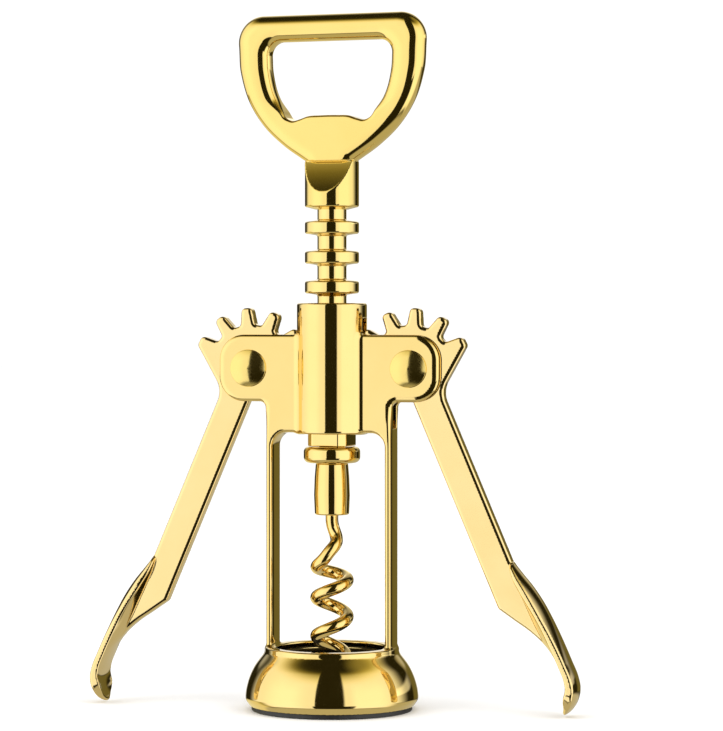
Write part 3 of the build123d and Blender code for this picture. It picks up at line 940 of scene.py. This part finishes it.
def build_world():
    """White to the camera and to the floor, and a ring of soft panels to anything polished."""
    world = bpy.data.worlds.new("studio")
    bpy.context.scene.world = world
    tree = node_tree(world)
    direction = add_node(tree, "SeparateXYZ")
    tree.links.new(add_node(tree, "TexCoord").outputs["Generated"], direction.inputs[0])
    x, y, z = (Formula(tree, direction.outputs[i]) for i in range(3))
    azimuth = x.math("ARCTAN2", y * -1.0) * math.degrees(1)
    elevation = z.math("ARCSINE") * math.degrees(1)
    totals = {colour: 0.0 for colour in (WHITE, TABLE, WARM)}
    for colour, level, sides, heights in PANELS:
        totals[colour] = panel_mask(azimuth, elevation, sides, heights) * level + totals[colour]
    light = add_node(tree, "CombineXYZ")
    for i in range(3):
        channel = totals[WHITE] + totals[TABLE] * TABLE[i] + totals[WARM] * WARM[i]
        tree.links.new(channel.socket, light.inputs[i])
    background = add_node(tree, "Background")
    tree.links.new(light.outputs[0], background.inputs["Color"])
    plain = add_node(tree, "Background", inputs={"Color": (1, 1, 1, 1), "Strength": WHITE_SWEEP})
    rays = add_node(tree, "LightPath")
    glossy = Formula(tree, rays.outputs["Is Glossy Ray"])
    blend = add_node(tree, "MixShader")
    tree.links.new(glossy.socket, blend.inputs[0])
    tree.links.new(plain.outputs[0], blend.inputs[1])
    tree.links.new(background.outputs[0], blend.inputs[2])
    output = add_node(tree, "OutputWorld")
    tree.links.new(blend.outputs[0], output.inputs["Surface"])


def build_floor():
    """Large pale floor. Polished parts see the studio's panels in its place."""
    half = 4.0
    corners = [(-half, -half, 0), (half, -half, 0), (half, half, 0), (-half, half, 0)]
    mesh = bpy.data.meshes.new("floor")
    mesh.from_pydata(corners, [], [(0, 1, 2, 3)])
    floor = bpy.data.objects.new("floor", mesh)
    bpy.context.scene.collection.objects.link(floor)
    material = bpy.data.materials.new("pale_floor")
    tree = node_tree(material)
    shader = add_node(tree, "BsdfPrincipled", inputs={"Specular IOR Level": 0.0})
    tint = mixed(tree, spread(tree, noise(tree, 3.0), 0.0, 1.0), (0.95, 0.95, 0.95), (0.96, 0.96, 0.96))
    roughness = spread(tree, noise(tree, 40.0), 0.85, 0.95)
    finish_material(tree, shader, {"Base Color": tint, "Roughness": roughness})
    floor.data.materials.append(material)
    floor.visible_glossy = False


def build_lamp(name, azimuth):
    """Soft box beside the camera. It lights the floor and plain surfaces; the world holds its reflection."""
    lamp = bpy.data.lights.new(name, "AREA")
    lamp.shape = "SQUARE"
    lamp.size = LAMP_SIZE
    lamp.energy = LAMP_POWER
    piece = bpy.data.objects.new(name, lamp)
    turn = math.radians(azimuth)
    piece.location = (LAMP_DISTANCE * math.sin(turn), -LAMP_DISTANCE * math.cos(turn), LAMP_HEIGHT)
    piece.rotation_euler = (math.radians(LAMP_TILT), 0.0, turn)
    piece.visible_glossy = False
    bpy.context.scene.collection.objects.link(piece)


def build_camera():
    """Long lens a little to the right of the front, level, with a shift that frames the whole tool."""
    camera = bpy.data.cameras.new("camera")
    piece = bpy.data.objects.new("camera", camera)
    turn = math.radians(CAMERA_AZIMUTH)
    piece.location = (CAMERA_DISTANCE * math.sin(turn), -CAMERA_DISTANCE * math.cos(turn), CAMERA_HEIGHT)
    piece.rotation_euler = (math.radians(90), 0.0, turn)
    camera.lens = 153.65
    camera.sensor_width = 36.0
    camera.shift_x = 0.0404
    camera.shift_y = -0.0855
    camera.clip_start = 0.05
    camera.clip_end = 20.0
    bpy.context.scene.collection.objects.link(piece)
    bpy.context.scene.camera = piece


build_world()
build_floor()
build_lamp("soft_box_left", -45.0)
build_lamp("soft_box_right", 60.0)
build_camera()
bpy.context.scene.view_settings.view_transform = "Standard"
